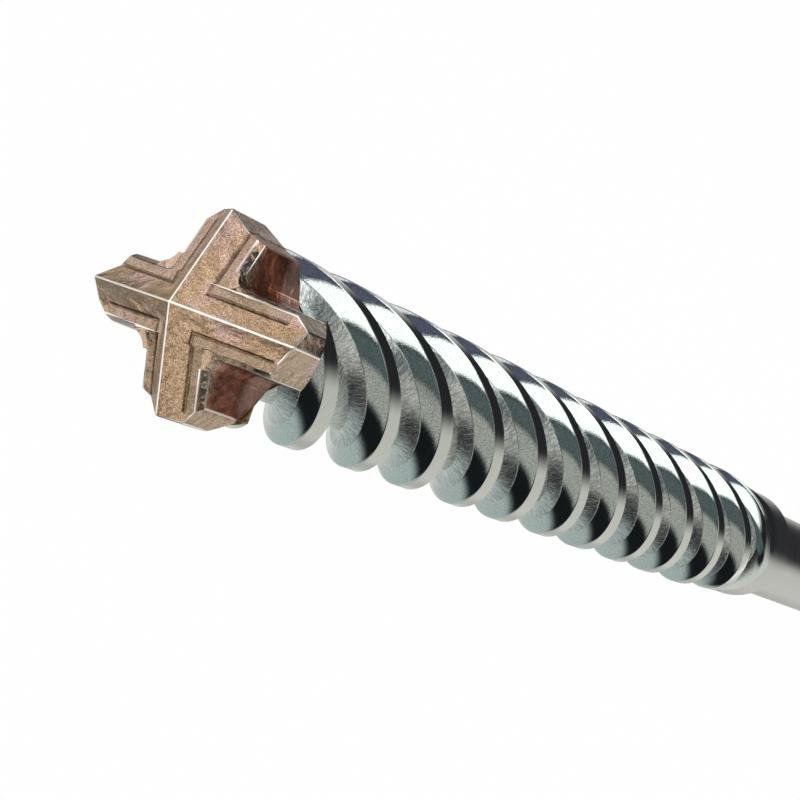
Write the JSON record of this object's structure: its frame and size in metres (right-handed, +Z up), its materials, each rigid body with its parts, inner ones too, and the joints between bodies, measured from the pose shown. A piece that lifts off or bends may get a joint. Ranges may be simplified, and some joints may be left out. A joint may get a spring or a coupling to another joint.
{
  "type": "hammer drill bit",
  "caption": "Masonry hammer drill bit with a cross-shaped carbide cutting head, a helically fluted steel body and a slotted shank.",
  "frame": {"origin": "centre of the flat end of the shank, on the bit's axis", "axes": "+X along the bit from the shank end to the tip; +Z up as the bit lies at rest on its lands, with the ground between two cutters"},
  "size_m": [0.21, 0.0132, 0.0132],
  "materials": {
    "carbide": "sintered carbide with a bronze tint, sand-blasted, with bare ground edges",
    "braze": "dull brazing filler",
    "blasted_steel": "blasted flutes, ground lands"
  },
  "bodies": {
    "root": {"carbide_head": "carbide", "braze_joint": "braze", "steel_body": "blasted_steel"}
  },
  "joints": []
}
